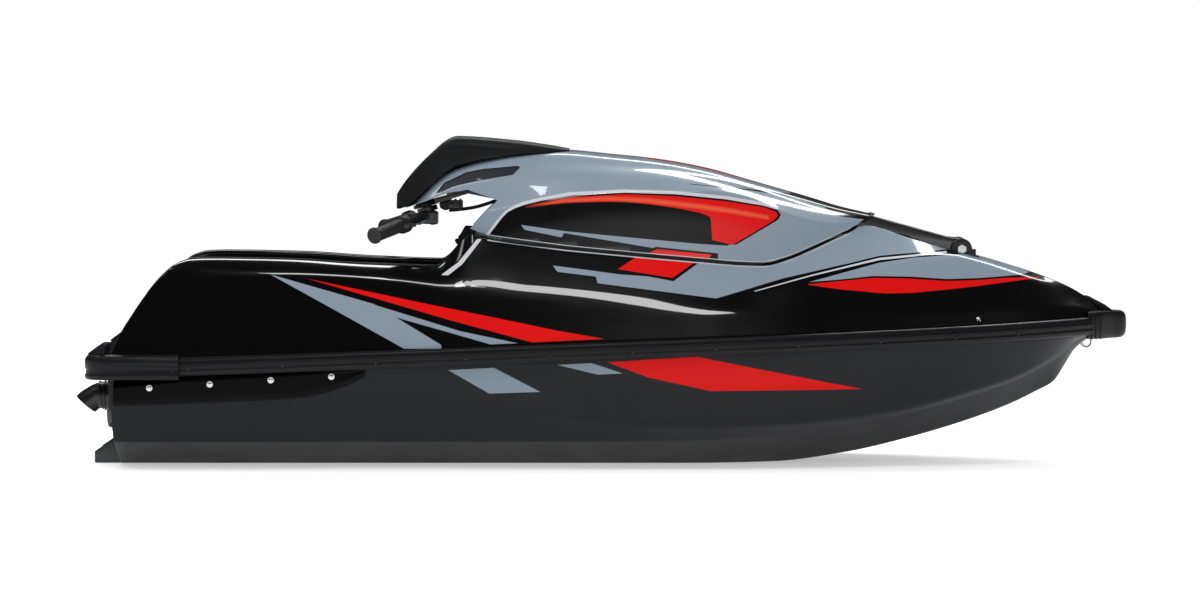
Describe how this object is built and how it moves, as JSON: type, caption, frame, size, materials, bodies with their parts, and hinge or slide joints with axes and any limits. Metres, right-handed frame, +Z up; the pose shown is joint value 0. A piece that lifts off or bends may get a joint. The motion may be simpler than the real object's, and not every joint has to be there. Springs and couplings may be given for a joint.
{
  "type": "stand-up personal watercraft",
  "caption": "Stand-up personal watercraft with a lifting handle pole, steering handlebar, steered jet nozzle and impeller, open rider tray and rubber rails.",
  "frame": {"origin": "on the floor under the middle of the craft's length and width, with the keel resting on z = 0", "axes": "+X towards the bow, +Y to port, +Z up"},
  "size_m": [2.6904, 0.765, 0.8368],
  "materials": {
    "hull_satin": "satin",
    "deck_gloss": "gloss",
    "cover_paint": "gloss",
    "hood_black": "satin",
    "rubber_trim": "satin",
    "foam_pad": "matte",
    "tray_rubber": "matte",
    "sponson_gloss": "gloss",
    "exhaust_black": "satin",
    "pump_alloy": "satin",
    "impeller_steel": "polished",
    "engine_alloy": "satin",
    "black_metal": "satin",
    "arm_black": "matte",
    "control_plastic": "satin",
    "steel_wire": "polished"
  },
  "bodies": {
    "hull": {"hull_bottom": "hull_satin", "deck": "deck_gloss", "engine_hood": "hood_black", "hood_latch": "rubber_trim", "engine_block": "engine_alloy", "rail_port": "rubber_trim", "rail_starboard": "rubber_trim", "stern_bumper_port": "rubber_trim", "stern_bumper_starboard": "rubber_trim", "bow_bumper": "rubber_trim", "bow_eye": "steel_wire", "sponson_port": "sponson_gloss", "sponson_starboard": "sponson_gloss", "tray_mat": "tray_rubber", "tray_wall_pad_port": "tray_rubber", "tray_wall_pad_starboard": "tray_rubber", "exhaust_outlet": "exhaust_black", "drain_plug_port": "control_plastic", "drain_plug_starboard": "control_plastic", "cooling_outlet": "control_plastic", "pump_housing": "pump_alloy", "pump_outlet": "pump_alloy", "ride_plate": "black_metal", "intake_grate": "pump_alloy", "pivot_bracket": "black_metal"},
    "impeller": {"impeller": "impeller_steel", "drive_shaft": "impeller_steel"},
    "nozzle": {"steering_nozzle": "pump_alloy"},
    "pole": {"pole_arm": "arm_black", "pole_cover": "cover_paint", "front_rim": "rubber_trim", "pole_pad": "foam_pad", "steering_column": "black_metal", "lower_flange": "black_metal", "switch_box": "control_plastic", "control_cable": "rubber_trim"},
    "handlebar": {"handlebar": "black_metal", "bar_clamp": "black_metal", "grip_starboard": "rubber_trim", "grip_port": "rubber_trim", "throttle_housing": "control_plastic", "switch_housing": "control_plastic", "throttle_lever": "black_metal"}
  },
  "joints": [
    {"name": "pole_lift", "type": "hinge", "parent": "hull", "child": "pole", "pos_m": [0.915, 0, 0.548], "axis": [0, 1, 0], "range_deg": [0, 42]},
    {"name": "steering", "type": "hinge", "parent": "pole", "child": "handlebar", "pos_m": [-0.455, 0, 0.632], "axis": [-0.2588, 0, 0.9659], "range_deg": [-25, 25]},
    {"name": "nozzle_steer", "type": "hinge", "parent": "hull", "child": "nozzle", "pos_m": [-1.229, 0, 0.132], "axis": [0, 0, 1], "range_deg": [-18, 18]},
    {"name": "impeller_spin", "type": "hinge", "parent": "hull", "child": "impeller", "pos_m": [-1.01, 0, 0.132], "axis": [1, 0, 0], "continuous": true}
  ],
  "couplings": [
    {"joint": "nozzle_steer", "follows": "steering", "ratio": -0.7}
  ]
}
